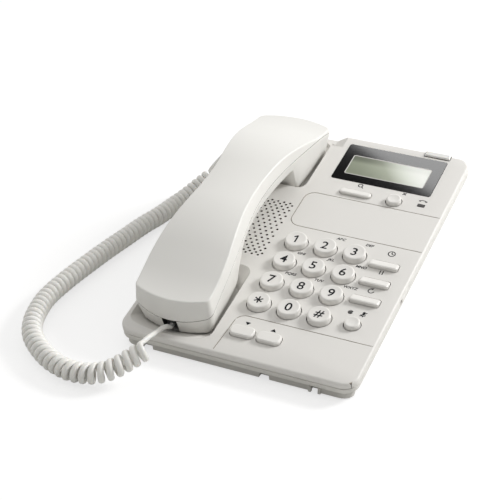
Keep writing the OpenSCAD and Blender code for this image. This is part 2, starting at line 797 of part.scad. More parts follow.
// Right half of the front shell at place p, from the seam down to the flat of the cup
function front_half(p) =
    let (m = seam_height(p[1]), b = under_height(p[1]), h = m - b,
         r = min(5, h * 0.45, waist(p[1]) * 0.5), d = min(h * 0.13, 3))
    concat([drawn_in(p, 0, m)],
           [for (i = [0:4]) drawn_in(p, d + r * (1 - cos(22.5 * i)), b + r * (1 - sin(22.5 * i)))]);
function front_section(p) = concat(
    [for (q = front_half(p)) [-q[0], q[1], q[2]]], reversed(front_half(p)));

// End face of a section, in strips between its two sides, from point number first on
function end_strips(first, n) = [for (j = [0:ceil(n / 2) - 2])
    let (a = first + j, b = first + n - 1 - j) a + 1 == b - 1 ? [a, a + 1, b] : [a, a + 1, b - 1, b]];

// Solid through a row of equal sections
module loft(section) {
    n = len(section[0]);
    last = len(section) - 1;
    points = [for (ring = section, p = ring) p];
    faces = concat(
        [for (i = [0:last - 1], j = [0:n - 1]) [i * n + j, i * n + (j + 1) % n, (i + 1) * n + (j + 1) % n]],
        [for (i = [0:last - 1], j = [0:n - 1]) [i * n + j, (i + 1) * n + (j + 1) % n, (i + 1) * n + j]],
        [for (f = end_strips(0, n)) reversed(f)],
        end_strips(last * n, n));
    polyhedron(points, faces, convexity = 8);
}

module at_handset() {
    panel() translate([cradle_x, cradle_y, 0]) children();
}

module handset_back_shell() {
    color("white") at_handset() loft([for (p = places) back_section(p)]);
}

receiver_s = 66;
mic_s = -62;
recess_l = 12;
weight_l = 50;
recess_top = 5;
handset_jack_h = cup_under + jack_floor + jack_size[2] / 2;

module handset_front_shell() {
    pocket = cup_under + 2.5;
    color("white") at_handset() difference() {
        loft([for (p = places) front_section(p)]);
        translate([0, receiver_s, pocket]) cylinder(d = receiver_d + 0.6, h = 40);
        translate([0, mic_s, pocket]) cylinder(d = 10.6, h = 40);
        weight_block(0.3);
        translate([-recess_w / 2, -tip_s - 1, cup_under - 1])
            cube([recess_w, recess_l + 1, recess_top - cup_under + 1]);
        translate([-jack_size[1] / 2 - 0.2, -tip_s + recess_l, cup_under + jack_floor])
            cube([jack_size[1] + 0.4, jack_size[0] + 0.4, 40]);
        for (x = [-8:4:8], y = [-8:4:8]) if (norm([x, y]) < 10)
            translate([x, receiver_s + y, cup_under - 1]) cylinder(d = 1.8, h = 6);
        for (x = [-3, 0, 3]) translate([x, mic_s, cup_under - 1]) cylinder(d = 1.6, h = 6);
    }
}

module receiver_capsule() {
    color("dimgray") at_handset() translate([0, receiver_s, cup_under + 2.5]) {
        cylinder(d = receiver_d, h = 7);
        cylinder(d = receiver_d - 10, h = 10);
    }
}

module microphone() {
    color("dimgray") at_handset() translate([0, mic_s, cup_under + 2.5]) cylinder(d = 10, h = 6);
}

module weight_block(gap) {
    w = grip_w - 21 + 2 * gap;
    translate([-w / 2, -weight_l / 2 - gap, grip_under + 2.4])
        cube([w, weight_l + 2 * gap, gap > 0 ? 20 : 6]);
}

module handset_weight() {
    color("gray") at_handset() weight_block(0);
}

module handset_jack() {
    color("dimgray") at_handset() translate([0, -tip_s + recess_l, handset_jack_h]) jack_block();
}

// ---------- cord ----------

// Plug with its cord end towards -Y, its shoulder at the mouth of a jack at the origin
module plug() {
    translate([-plug_size[0] / 2, -plug_size[1], -plug_size[2] / 2])
        cube([plug_size[0], plug_size[1] + plug_depth, plug_size[2]]);
}

module handset_plug() {
    color("white") at_handset() translate([0, -tip_s + recess_l, handset_jack_h]) plug();
}

module base_plug() {
    color("white") panel() translate([-base_jack_x, base_jack_y, base_jack_h]) rotate([0, 0, -90]) plug();
}

// Point of the panel frame in the frame of the whole telephone
function from_panel(p) = [
    p[0], panel_y + p[1] * cos(slope) - p[2] * sin(slope), panel_z + p[1] * sin(slope) + p[2] * cos(slope)];
function unit(v) = v / norm(v);

// Where the leads leave the plugs, and which way
front_foot = [cradle_x, panel_y - half_l * cos(slope), 0];
front_edge = front_foot + [0, 0, front_h];
handset_exit = from_panel([cradle_x, cradle_y - tip_s + recess_l - plug_size[1], handset_jack_h]);
handset_way = [0, -cos(slope), -sin(slope)];
base_exit = from_panel([-base_jack_x - plug_size[1], base_jack_y, base_jack_h]);

// Middle line of the coil: it slopes down from the handset and lies on the table to the left jack
coil_lie = curl_d / 2 + 0.2;
coil_route = concat(
    [for (p = [[2, -24, 13.4], [-3, -28.5, 9.7], [-11, -36.5, 5.2], [-21, -41.5, 2], [-34, -42.5, 0.4],
        [-45, -40, 0],
               [-56, -35, 0], [-67, -27, 0], [-75, -19, 0], [-81, -9, 0], [-85, 2, 0], [-88, 16, 0],
                   [-88.5, 29, 0],
               [-87.5, 47, 0], [-85.5, 66, 0], [-83, 86, 0], [-80, 105, 0], [-77, 124, 0], [-73.5, 139, 0]])
        front_foot + p + [0, 0, coil_lie]],
    [for (p = [[-46, -21, 0], [-42.5, -8, 1.5], [-38, 4, 5], [-32.5, 14.5, 9.5]])
        [base_exit[0] + p[0], base_exit[1] + p[1], coil_lie + p[2]]]);

// Point of a smooth curve through a route, at t from 0 to the number of its legs
function at(v, i) = v[min(max(i, 0), len(v) - 1)];
function spline(v, t) = let (i = min(floor(t), len(v) - 2), f = t - i,
    a = at(v, i - 1), b = v[i], c = v[i + 1], d = at(v, i + 2))
    b + f / 2 * ((c - a) + f * ((2 * a - 5 * b + 4 * c - d) + f * (3 * b - a - 3 * c + d)));

// Middle line by its own length
coil_line = [for (i = [0:8 * (len(coil_route) - 1)]) spline(coil_route, i / 8)];
coil_run = [for (i = 0, s = 0; i < len(coil_line);
    s = s + (i + 1 < len(coil_line) ? norm(coil_line[i + 1] - coil_line[i]) : 0), i = i + 1) s];
coil_l = coil_run[len(coil_run) - 1];
coil_x = [for (i = [0:len(coil_run) - 1]) [coil_run[i], coil_line[i][0]]];
coil_y = [for (i = [0:len(coil_run) - 1]) [coil_run[i], coil_line[i][1]]];
coil_z = [for (i = [0:len(coil_run) - 1]) [coil_run[i], coil_line[i][2]]];
function coil_at(s) = [lookup(s, coil_x), lookup(s, coil_y), lookup(s, coil_z)];

// The curls stand a little wider apart where the coil bends by the handset
rings = 8;
curl_r = (curl_d - cord_d) / 2;
function curl_point(k) = let (
    u = k / (rings * curls),
    s = coil_l * (u + 0.16 * u * (1 - u) * (1 - u)),
    way = unit(coil_at(s + 1.5) - coil_at(s - 1.5)),
    side = unit(cross([0, 0, 1], way)),
    top = cross(way, side),
    a = 360 * k / rings)
    coil_at(s) + curl_r * (cos(a) * top + sin(a) * side);
curl_points = [for (k = [0:rings * curls]) curl_point(k)];

// Leads from the plugs to the ends of the coil
lead_in = [
    handset_exit + cord_d * handset_way, front_edge + [-1, 6.8, 3.6], front_edge + [-2, -1.6, 4.9],
    front_edge + [-2.2, -11.4, 6.9], front_edge + [-0.8, -20.4, 9.6], curl_points[0], curl_points[1]];
lead_out = [
    curl_points[rings * curls - 1], curl_points[rings * curls],
    base_exit + [-26, 20, -3], base_exit + [-20, 13, 0.6], base_exit + [-12, 3, 0.8],
    base_exit + [-cord_d - 2, 0, 0], base_exit + [-cord_d, 0, 0]];
cord_line = concat(
    [handset_exit],
    [for (i = [0:4 * 5 - 1]) spline(lead_in, i / 4)],
    curl_points,
    [for (i = [1:4 * 5]) spline(lead_out, 1 + i / 4)],
    [base_exit]);

// Tube along a line, its rings carried along without twist
module tube(line, d, sides) {
    last = len(line) - 1;
    way = [for (i = [0:last]) unit(line[min(i + 1, last)] - line[max(i - 1, 0)])];
    first = unit(cross(way[0], [0, 0, 1]));
    out = [for (i = 0, n = first; i <= last;
        i = i + 1, n = i <= last ? unit(n - (n * way[i]) * way[i]) : n) n];
    points = [for (i = [0:last], k = [0:sides - 1])
        line[i] + d / 2 * (cos(360 * k / sides) * out[i] + sin(360 * k / sides) * cross(way[i], out[i]))];
    faces = concat(
        [for (i = [0:last - 1], k = [0:sides - 1])
            [i * sides + k, (i + 1) * sides + (k + 1) % sides, i * sides + (k + 1) % sides]],
        [for (i = [0:last - 1], k = [0:sides - 1])
            [i * sides + k, (i + 1) * sides + k, (i + 1) * sides + (k + 1) % sides]],
        [[for (k = [0:sides - 1]) k], [for (k = [sides - 1:-1:0]) last * sides + k]]);
    polyhedron(points, faces, convexity = 10);
    echo(cord_lowest = min([for (p = points) p[2]]));
}

module curly_cord() {
    color("white") tube(cord_line, cord_d, 6);
    echo(curl_gap = min([for (k = [0:rings * (curls - 1) - 1], j = [-1:1])
        norm(curl_points[k + rings + j] - curl_points[k])]) - cord_d, coil_length = coil_l);
}

top_case();
bottom_case();
desk_stand();
rubber_feet();
case_screws();
display_window();
lcd_panel();
message_lamp();
in_use_led();
mute_led();
dial_key(0, 0);  // key_1
dial_key(1, 0);  // key_2
dial_key(2, 0);  // key_3
dial_key(0, 1);  // key_4
dial_key(1, 1);  // key_5
dial_key(2, 1);  // key_6
dial_key(0, 2);  // key_7
dial_key(1, 2);  // key_8
dial_key(2, 2);  // key_9
dial_key(0, 3);  // key_star
dial_key(1, 3);  // key_0
dial_key(2, 3);  // key_hash
memory_key();
flash_key();
redial_key();
mute_key();
search_key();
delete_key();
volume_down_key();
volume_up_key();
keypad_mat();
main_pcb();
loudspeaker();
hook_switch();
hook_plunger();
ringer_switch();
line_jack();
base_jack();
handset_back_shell();
handset_front_shell();
receiver_capsule();
microphone();
handset_weight();
handset_jack();
handset_plug();
base_plug();
curly_cord();
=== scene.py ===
# Corded desk telephone with caller display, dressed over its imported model.
# Metres throughout, with X to the right, Y to the back and Z up from the table.
import math

import bmesh
import bpy
import numpy as np
from mathutils import Matrix, Vector


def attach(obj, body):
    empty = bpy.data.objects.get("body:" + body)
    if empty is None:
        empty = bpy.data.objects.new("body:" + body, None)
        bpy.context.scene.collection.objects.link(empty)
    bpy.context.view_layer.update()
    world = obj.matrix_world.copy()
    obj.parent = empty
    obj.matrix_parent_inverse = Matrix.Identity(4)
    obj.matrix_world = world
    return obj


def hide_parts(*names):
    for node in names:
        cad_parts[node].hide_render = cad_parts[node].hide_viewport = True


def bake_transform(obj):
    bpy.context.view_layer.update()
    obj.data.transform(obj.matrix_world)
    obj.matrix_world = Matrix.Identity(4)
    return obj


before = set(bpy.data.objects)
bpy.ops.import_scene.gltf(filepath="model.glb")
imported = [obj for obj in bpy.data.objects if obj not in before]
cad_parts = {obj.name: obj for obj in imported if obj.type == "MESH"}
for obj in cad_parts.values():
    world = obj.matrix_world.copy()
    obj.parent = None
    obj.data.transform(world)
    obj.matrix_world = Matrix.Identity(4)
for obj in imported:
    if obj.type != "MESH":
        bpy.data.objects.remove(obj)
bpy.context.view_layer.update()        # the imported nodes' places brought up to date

# ---------- Table, light and camera ----------
# The telephone stands on a pale table in soft studio light. Its top is a panel that slopes up to the
# back; places on it are given across the panel, up the panel and out of it, in millimetres.
MM = 0.001
SLOPE = math.radians(12)
PANEL_MIDDLE = (0.0, -1.0915, 34.7867)
CAMERA_AZIMUTH, CAMERA_ELEVATION = math.radians(24.358), math.radians(30.248)
CAMERA_AIM = (16.5, -32.5, 3.8)
CAMERA_BACK, CAMERA_RIGHT, CAMERA_UP = 889.74, -33.78, 14.76
CAMERA_LENS, CAMERA_SENSOR = 108.205, 36.0
TABLE_HALF, TABLE_LEVEL = 6.0, -0.0002
TABLE_SHADOW, TABLE_GLOW = 0.40, 0.66
DOME_WAY, DOME_SPAN, DOME_LIGHT = (-0.2, 0.4, 0.9), (-0.4, 0.95), (0.1, 0.78)


def from_panel(points):
    """Panel places (x, y, h) in mm to the telephone's own frame in metres: turned about X by the slope."""
    p = np.atleast_2d(np.asarray(points, float))
    c, s = math.cos(SLOPE), math.sin(SLOPE)
    turned = np.stack([p[:, 0], c * p[:, 1] - s * p[:, 2], s * p[:, 1] + c * p[:, 2]], 1)
    return (turned + PANEL_MIDDLE) * MM


def colour_of(hex_code):
    """Linear red, green, blue and alpha of a printed colour such as 'DEDCD6'."""
    parts = [int(hex_code[i:i + 2], 16) / 255 for i in (0, 2, 4)]
    return (*[p / 12.92 if p <= 0.04045 else ((p + 0.055) / 1.055) ** 2.4 for p in parts], 1.0)


def add_node(tree, kind, inputs=None, **settings):
    """New shader node; each input gets a value or is linked from the socket given for it."""
    made = tree.nodes.new(kind)
    for name, value in settings.items():
        setattr(made, name, value)
    for name, value in (inputs or {}).items():
        if isinstance(value, bpy.types.NodeSocket):
            tree.links.new(value, made.inputs[name])
        else:
            made.inputs[name].default_value = value
    return made


def new_material(name):
    """Empty node material and its output node."""
    made = bpy.data.materials.new(name)
    made.use_nodes = True
    made.node_tree.nodes.clear()
    return made, made.node_tree, made.node_tree.nodes.new("ShaderNodeOutputMaterial")


def table_material():
    """Pale table top: it bounces light as white laminate, and shows white with the soft shadow kept."""
    made, tree, output = new_material("table_top")
    grain = add_node(tree, "ShaderNodeTexNoise", {
        "Vector": add_node(tree, "ShaderNodeTexCoord").outputs["Object"], "Scale": 40.0})
    tone = add_node(tree, "ShaderNodeMix", {
        "Factor": grain.outputs["Fac"], "A": colour_of("E4E4E2"), "B": colour_of("E8E8E6")},
        data_type="RGBA")
    bounce = add_node(tree, "ShaderNodeBsdfDiffuse", {"Color": tone.outputs["Result"]})
    shadow = add_node(tree, "ShaderNodeBsdfDiffuse", {"Color": (TABLE_SHADOW, TABLE_SHADOW, TABLE_SHADOW, 1)})
    glow = add_node(tree, "ShaderNodeEmission", {"Color": (1, 1, 1, 1), "Strength": TABLE_GLOW})
    shown = add_node(tree, "ShaderNodeAddShader")
    tree.links.new(shadow.outputs[0], shown.inputs[0])
    tree.links.new(glow.outputs[0], shown.inputs[1])
    choice = add_node(tree, "ShaderNodeMixShader", {
        "Fac": add_node(tree, "ShaderNodeLightPath").outputs["Is Camera Ray"]})
    tree.links.new(bounce.outputs[0], choice.inputs[1])
    tree.links.new(shown.outputs[0], choice.inputs[2])
    tree.links.new(choice.outputs[0], output.inputs["Surface"])
    return made


table = bpy.data.objects.new("table", bpy.data.meshes.new("table"))
table.data.from_pydata([(x * TABLE_HALF, y * TABLE_HALF, TABLE_LEVEL)
                        for x, y in ((-1, -1), (1, -1), (1, 1), (-1, 1))], [], [(0, 1, 2, 3)])
table.data.materials.append(table_material())
bpy.context.scene.collection.objects.link(table)

world = bpy.data.worlds.new("studio")
world.use_nodes = True
bpy.context.scene.world = world
sky = world.node_tree
sky.nodes.clear()
path = add_node(sky, "ShaderNodeLightPath")
seen = add_node(sky, "ShaderNodeMath", {
    0: path.outputs["Is Camera Ray"], 1: path.outputs["Is Glossy Ray"]}, operation="MAXIMUM")
seen = add_node(sky, "ShaderNodeMath", {
    0: seen.outputs[0], 1: path.outputs["Is Transmission Ray"]}, operation="MAXIMUM")
# The dome is brightest overhead, a little to the back and left, and falls off to the front
upward = add_node(sky, "ShaderNodeVectorMath", {
    0: add_node(sky, "ShaderNodeTexCoord").outputs["Generated"], 1: DOME_WAY}, operation="DOT_PRODUCT")
level = add_node(sky, "ShaderNodeMapRange", {
    "Value": upward.outputs["Value"], "From Min": DOME_SPAN[0], "From Max": DOME_SPAN[1],
    "To Min": DOME_LIGHT[0], "To Max": DOME_LIGHT[1]})
dome = add_node(sky, "ShaderNodeBackground", {"Color": (1.0, 0.992, 0.975, 1), "Strength": level.outputs[0]})
white = add_node(sky, "ShaderNodeBackground", {"Color": (1, 1, 1, 1), "Strength": 1.0})
backdrop = add_node(sky, "ShaderNodeMixShader", {"Fac": seen.outputs[0]})
sky.links.new(dome.outputs[0], backdrop.inputs[1])
sky.links.new(white.outputs[0], backdrop.inputs[2])
sky.links.new(backdrop.outputs[0], add_node(sky, "ShaderNodeOutputWorld").inputs["Surface"])


def softbox(name, place, aim, size, power):
    """Square area lamp at a place, turned to its aim, both in metres."""
    lamp = bpy.data.lights.new(name, "AREA")
    lamp.shape, lamp.size, lamp.energy = "SQUARE", size, power
    made = bpy.data.objects.new(name, lamp)
    made.location = place
    made.rotation_euler = (Vector(aim) - Vector(place)).to_track_quat("-Z", "Y").to_euler()
    bpy.context.scene.collection.objects.link(made)
    return made


# A key light from the back right, and a weak, wide one from the front left
softbox("key_light", place=(1.0, 0.78, 0.9), aim=(0.02, 0.0, 0.03), size=0.38, power=18.0)
softbox("front_light", place=(-0.9, -0.9, 0.9), aim=(0.0, 0.0, 0.03), size=0.9, power=0.6)

camera = bpy.data.objects.new("camera", bpy.data.cameras.new("camera"))
camera.data.lens, camera.data.sensor_width = CAMERA_LENS, CAMERA_SENSOR
camera.data.clip_start, camera.data.clip_end = 0.01, 20.0
away = Vector((math.sin(CAMERA_AZIMUTH) * math.cos(CAMERA_ELEVATION),
               -math.cos(CAMERA_AZIMUTH) * math.cos(CAMERA_ELEVATION), math.sin(CAMERA_ELEVATION)))
rightward = Vector((0, 0, 1)).cross(away).normalized()
raised = away.cross(rightward)
camera.location = Vector(from_panel(CAMERA_AIM)[0]) + (
    away * CAMERA_BACK + rightward * CAMERA_RIGHT + raised * CAMERA_UP) * MM
camera.rotation_euler = Matrix((rightward, raised, away)).transposed().to_euler()
bpy.context.scene.collection.objects.link(camera)
bpy.context.scene.camera = camera
bpy.context.scene.view_settings.view_transform = "Standard"

# ---------- Case, stand and feet ----------
# Two moulded shells of satin ABS meet in a dark parting groove below the panel's rim, held by four
# screws. The upper one has the grille, the openings for the display and the keys, and the two wells of
# the cradle. A wedge stand clips on underneath and rests on four rubber feet.
# Parts of the panel whose recesses get painted shade, and the depths over which that shade darkens
KEY_PART, GRILLE_PART = ((-17.4, 71.5), (-103.2, 90)), ((-71.5, -17.4), (-29, 42))
SHADE_DEPTHS = (0.08, 2.2)


def moulded(name, colour, roughness=0.45, grain=0.5, depth=0.016, drift=0.012, soft=0.0, coat=0.0, ior=1.46):
    """Injection-moulded plastic: a fine spark-eroded grain of a given size and depth in mm, a slow drift
    in tone, and a little light scattered under the skin."""
    made, tree, output = new_material(name)
    place = add_node(tree, "ShaderNodeTexCoord").outputs["Object"]
    cloud = add_node(tree, "ShaderNodeTexNoise", {"Vector": place, "Scale": 22.0, "Detail": 3.0})
    speck = add_node(tree, "ShaderNodeTexNoise", {"Vector": place, "Scale": 1 / (grain * MM), "Detail": 2.0})
    base = colour_of(colour)
    low, high = ((*[c * k for c in base[:3]], 1) for k in (1 - drift, 1 + drift))
    tone = add_node(tree, "ShaderNodeMix", {
        "Factor": cloud.outputs["Fac"], "A": low, "B": high}, data_type="RGBA")
    polish = add_node(tree, "ShaderNodeMapRange", {
        "Value": speck.outputs["Fac"], "From Min": 0.3, "From Max": 0.7,
        "To Min": roughness - 0.05, "To Max": roughness + 0.05})
    bump = add_node(tree, "ShaderNodeBump", {
        "Height": speck.outputs["Fac"], "Strength": 0.6, "Distance": depth * MM})
    skin = add_node(tree, "ShaderNodeBsdfPrincipled", {
        "Base Color": tone.outputs["Result"], "Roughness": polish.outputs[0], "Normal": bump.outputs[0],
        "IOR": ior, "Subsurface Weight": soft, "Subsurface Radius": (0.6, 0.5, 0.4),
        "Subsurface Scale": 0.002, "Coat Weight": coat, "Coat Roughness": 0.12})
    tree.links.new(skin.outputs[0], output.inputs["Surface"])
    return made


def dress(material, *names, angle=32):
    """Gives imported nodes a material, and rounds their shading up to an edge angle in degrees."""
    for name in names:
        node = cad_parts[name]
        node.data.materials.clear()
        node.data.materials.append(material)
        node.data.polygons.foreach_set("use_smooth", np.ones(len(node.data.polygons), bool))
        weld = node.modifiers.new("weld", "WELD")
        weld.merge_threshold = 2e-6
        split = node.modifiers.new("edges", "EDGE_SPLIT")
        split.split_angle = math.radians(angle)


def case_material():
    """The case's plastic, with painted shade down in the grooves, grille holes and key openings: it darkens
    to brown grey from 0.08 mm to 2.2 mm below the panel, measured along its normal. The wells keep their
    colour."""
    made = moulded("case_plastic", "E0DEDA")
    tree = made.node_tree
    skin = next(n for n in tree.nodes if n.type == "BSDF_PRINCIPLED")
    place = add_node(tree, "ShaderNodeVectorMath", {
        0: add_node(tree, "ShaderNodeTexCoord").outputs["Object"],
        1: tuple(c * MM for c in PANEL_MIDDLE)}, operation="SUBTRACT")

    def along(way):
        """Distance from the panel's middle along a way: their dot product."""
        return add_node(tree, "ShaderNodeVectorMath", {0: place.outputs[0], 1: way}, operation="DOT_PRODUCT")

    def maths(kind, first, second):
        """Two values through one sum, product or comparison."""
        return add_node(tree, "ShaderNodeMath", {0: first, 1: second}, operation=kind).outputs[0]

    def inside(value, low, high):
        """1 where a value lies between two distances in mm, and 0 elsewhere."""
        return maths("MULTIPLY", maths("GREATER_THAN", value, low * MM), maths("LESS_THAN", value, high * MM))

    across = along((1, 0, 0)).outputs["Value"]
    up_panel = along((0, math.cos(SLOPE), math.sin(SLOPE))).outputs["Value"]
    height = along((0, -math.sin(SLOPE), math.cos(SLOPE))).outputs["Value"]
    keys, grille = (maths("MULTIPLY", inside(across, *part[0]), inside(up_panel, *part[1]))
                    for part in (KEY_PART, GRILLE_PART))
    deep = add_node(tree, "ShaderNodeMapRange", {
        "Value": height, "From Min": -SHADE_DEPTHS[0] * MM, "From Max": -SHADE_DEPTHS[1] * MM,
        "To Min": 0.0, "To Max": 1.0})
    # Painted shade: the colour darkens with depth below the panel, from white to near black brown
    shade = add_node(tree, "ShaderNodeValToRGB", {"Fac": deep.outputs[0]})
    shade.color_ramp.elements[0].color = (1, 1, 1, 1)
    shade.color_ramp.elements[1].color = colour_of("1E1A17")
    for at, tone in ((0.05, "D2CBC3"), (0.13, "B0A598"), (0.2, "6A6058"), (0.34, "342D28")):
        shade.color_ramp.elements.new(at).color = colour_of(tone)
    recess_painted_shade = add_node(tree, "ShaderNodeMix", {
        "Factor": maths("ADD", keys, grille), "A": skin.inputs["Base Color"].links[0].from_socket,
        "B": shade.outputs[0]}, data_type="RGBA", blend_type="MULTIPLY")
    tree.links.new(recess_painted_shade.outputs["Result"], skin.inputs["Base Color"])
    return made


dress(case_material(), "top_case")
dress(moulded("lower_case_plastic", "DAD8D3"), "bottom_case")
dress(moulded("stand_plastic", "C9C7C2", roughness=0.48), "desk_stand")
dress(moulded("foot_rubber", "2B2B2B", roughness=0.8, grain=0.8), "rubber_feet")
dress(moulded("zinc_steel", "8E9092", roughness=0.35), "case_screws")

# ---------- Display ----------
# A gloss black acrylic window is let into the panel, with a clear, bevelled opening over the liquid
# crystal. A white lamp for messages is set into the back rim, and two small ones with smoky dark
# lenses stand by the keys, all of them unlit.
WINDOW_MIDDLE, WINDOW_HALF = (27.1, 80.6), (33.2, 18.15, 0.0)
VIEW_MIDDLE, VIEW_SIZE, VIEW_CORNER = (26.9, 78.75), (52.4, 18.6), 0.8
LAMP_MIDDLE, LAMP_SIZE, LAMP_CORNER = (52.1, 103.25), (16.8, 4.6), 0.3
CORNER_POINTS, LEAST_CORNER = 6, 0.01
LOOP_POINTS = 4 * CORNER_POINTS
# Spans of the LCD's painted highlight and of its band of painted shade
LCD_HIGHLIGHT_SPAN, LCD_SHADE_BAND, LCD_SHADE_FADE = (0.054, 0.106), (0.0775, 0.0825), (0.008, 0.034)


def unit(v):
    """Vectors divided by their own lengths."""
    return v / np.linalg.norm(v, axis=-1, keepdims=True)


def mesh_object(name, points, faces, material):
    """Smooth-shaded mesh object at the origin, from points in metres and faces."""
    mesh = bpy.data.meshes.new(name)
    mesh.from_pydata(np.asarray(points).tolist(), [], [list(f) for f in faces])
    mesh.polygons.foreach_set("use_smooth", np.ones(len(mesh.polygons), bool))
    mesh.materials.append(material)
    made = bpy.data.objects.new(name, mesh)
    bpy.context.scene.collection.objects.link(made)
    return made


def grid_faces(rows, columns):
    """Quads over a grid of points in rows, where the last column joins the first."""
    i, j = np.meshgrid(np.arange(rows - 1), np.arange(columns), indexing="ij")
    k = (j + 1) % columns
    corners = [i * columns + j, i * columns + k, (i + 1) * columns + k, (i + 1) * columns + j]
    return np.stack(corners, -1).reshape(-1, 4)


def rounded_loop(width, depth, corner):
    """Points round a rectangle with round corners: four quarter circles joined by straight sides."""
    turns = np.linspace(0, np.pi / 2, CORNER_POINTS)
    corners = [(1, 1, 0), (-1, 1, 1), (-1, -1, 2), (1, -1, 3)]
    return np.concatenate([np.column_stack([
        sx * (width / 2 - corner) + corner * np.cos(turns + q * np.pi / 2),
        sy * (depth / 2 - corner) + corner * np.sin(turns + q * np.pi / 2)]) for sx, sy, q in corners])


def bevel_frame(name, middle, size, corner, rings, material, pane=False):
    """Frame round an opening: one loop for each (outset, height), joined into a band of quads; as a pane,
    the last loop is filled."""
    loops = []
    for outset, height in rings:
        loop = rounded_loop(size[0] + 2 * outset, size[1] + 2 * outset, max(corner + outset, LEAST_CORNER))
        loops.append(np.column_stack([loop + middle, np.full(LOOP_POINTS, height)]))
    faces = grid_faces(len(rings), LOOP_POINTS).tolist()
    if pane:
        faces.append(list(range(LOOP_POINTS * (len(rings) - 1), LOOP_POINTS * len(rings))))
    return mesh_object(name, from_panel(np.concatenate(loops)), faces, material)


def lcd_material():
    """Liquid crystal at rest under the clear view: its own grey green, paled to near white along a slant to
    the right by a painted highlight, with a band of painted shade along its back edge, standing for the
    shadow of the window's rim, that fades from left to right."""
    made, tree, output = new_material("lcd_glass")
    place = add_node(tree, "ShaderNodeTexCoord").outputs["Object"]
    axes = add_node(tree, "ShaderNodeSeparateXYZ", {"Vector": place})
    slant = add_node(tree, "ShaderNodeVectorMath", {0: place, 1: (1, 0.7, 0)}, operation="DOT_PRODUCT")
    across = add_node(tree, "ShaderNodeMapRange", {
        "Value": slant.outputs["Value"], "From Min": LCD_HIGHLIGHT_SPAN[0], "From Max": LCD_HIGHLIGHT_SPAN[1]},
        interpolation_type="SMOOTHSTEP")
    # The ramp's paler stops are a painted highlight over the crystal's grey green
    ramp = add_node(tree, "ShaderNodeValToRGB", {"Fac": across.outputs[0]})
    ramp.color_ramp.elements[0].color = colour_of("939988")
    ramp.color_ramp.elements[1].color = colour_of("EDEFEA")
    ramp.color_ramp.elements.new(0.45).color = colour_of("A9AE9F")
    ramp.color_ramp.elements.new(0.8).color = colour_of("D9DDD3")
    # Painted shade along the back edge, weaker towards the right
    band = add_node(tree, "ShaderNodeMapRange", {
        "Value": axes.outputs["Y"], "From Min": LCD_SHADE_BAND[0], "From Max": LCD_SHADE_BAND[1],
        "To Min": 1.0, "To Max": 0.5}, interpolation_type="SMOOTHSTEP")
    fade = add_node(tree, "ShaderNodeMapRange", {
        "Value": axes.outputs["X"], "From Min": LCD_SHADE_FADE[0], "From Max": LCD_SHADE_FADE[1],
        "To Min": 0.9, "To Max": 0.2}, interpolation_type="SMOOTHSTEP")
    tint = add_node(tree, "ShaderNodeMix", {
        "Factor": fade.outputs[0], "A": ramp.outputs[0], "B": band.outputs[0]},
        data_type="RGBA", blend_type="MULTIPLY")
    glass = add_node(tree, "ShaderNodeBsdfPrincipled", {
        "Base Color": tint.outputs["Result"], "Roughness": 0.1, "IOR": 1.05})
    tree.links.new(glass.outputs[0], output.inputs["Surface"])
    return made


black, black_tree, black_output = new_material("window_acrylic")
gloss = add_node(black_tree, "ShaderNodeBsdfPrincipled", {
    "Base Color": colour_of("020202"), "Roughness": 0.07, "IOR": 1.11})
black_tree.links.new(gloss.outputs[0], black_output.inputs["Surface"])
dress(black, "display_window")
view_glass = lcd_material()
dress(view_glass, "lcd_panel")

# The clear bevel round the view is coloured light grey: a painted highlight along its edge
bevel = bevel_frame("view_bevel", VIEW_MIDDLE, VIEW_SIZE, VIEW_CORNER,
                    [(0.42, 0.21), (0.1, 0.25), (-0.25, 0.1)],
                    moulded("bevel_painted_highlight", "D2D0CC", roughness=0.25))
pane = bevel_frame("view_pane", VIEW_MIDDLE, VIEW_SIZE, VIEW_CORNER,
                   [(0.05, 0.05), (-0.2, 0.14)], view_glass, pane=True)
for piece in (bevel, pane):
    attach(piece, "base")

# A soft reflector over the back left lights the window alone. Its edge is mirrored in the gloss from
# the window's back left corner to its front right one, with the bright side at the back right: each
# corner's sight line is mirrored, d - 2 (d n) n, and meets the reflector's plane
REFLECTOR_WIDE, REFLECTOR_AWAY, REFLECTOR_SHIFT, REFLECTOR_POWER = 0.5, 1.1, 0.004, 36.0
corners = from_panel(np.array([*WINDOW_MIDDLE, 0])
                     + np.array([[-1, 1, 0], [1, -1, 0], [1, 1, 0]]) * WINDOW_HALF)
normal = from_panel([0, 0, 1])[0] - from_panel([0, 0, 0])[0]
sight = unit(corners - np.array(camera.location))
mirrored = sight - 2 * (sight @ unit(normal))[:, None] * unit(normal)
facing = unit(mirrored.mean(0))
reach = (REFLECTOR_AWAY - (corners - corners.mean(0)) @ facing) / (mirrored @ facing)
hit = corners + mirrored * reach[:, None]
edge_way = unit(hit[1] - hit[0])
inward = unit((hit[2] - hit[0]) - ((hit[2] - hit[0]) @ edge_way) * edge_way)
reflector = softbox("window_reflector", hit[:2].mean(0) + inward * (REFLECTOR_WIDE / 2 + REFLECTOR_SHIFT),
                    corners.mean(0), REFLECTOR_WIDE, REFLECTOR_POWER)
reflector.rotation_euler = Matrix((edge_way, np.cross(facing, edge_way), facing)).transposed().to_euler()
glossy = bpy.data.collections.new("glossy")
glossy.objects.link(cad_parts["display_window"])
reflector.light_linking.receiver_collection = glossy

dress(moulded("lamp_lens", "E7E6E3", roughness=0.22, soft=0.3, coat=0.3), "message_lamp")
# A thin dark ring round the lamp: a painted shadow of the gap about it
lamp_gap_shadow = bevel_frame("lamp_gap_painted_shadow", LAMP_MIDDLE, LAMP_SIZE, LAMP_CORNER,
                        [(0.42, 0.02), (0.05, 0.02), (0.02, 0.3)],
                        moulded("joint_shadow", "5F5952", roughness=0.8))
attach(lamp_gap_shadow, "base")
dress(moulded("smoky_lens", "33302F", roughness=0.2, coat=0.5), "in_use_led", "mute_led")

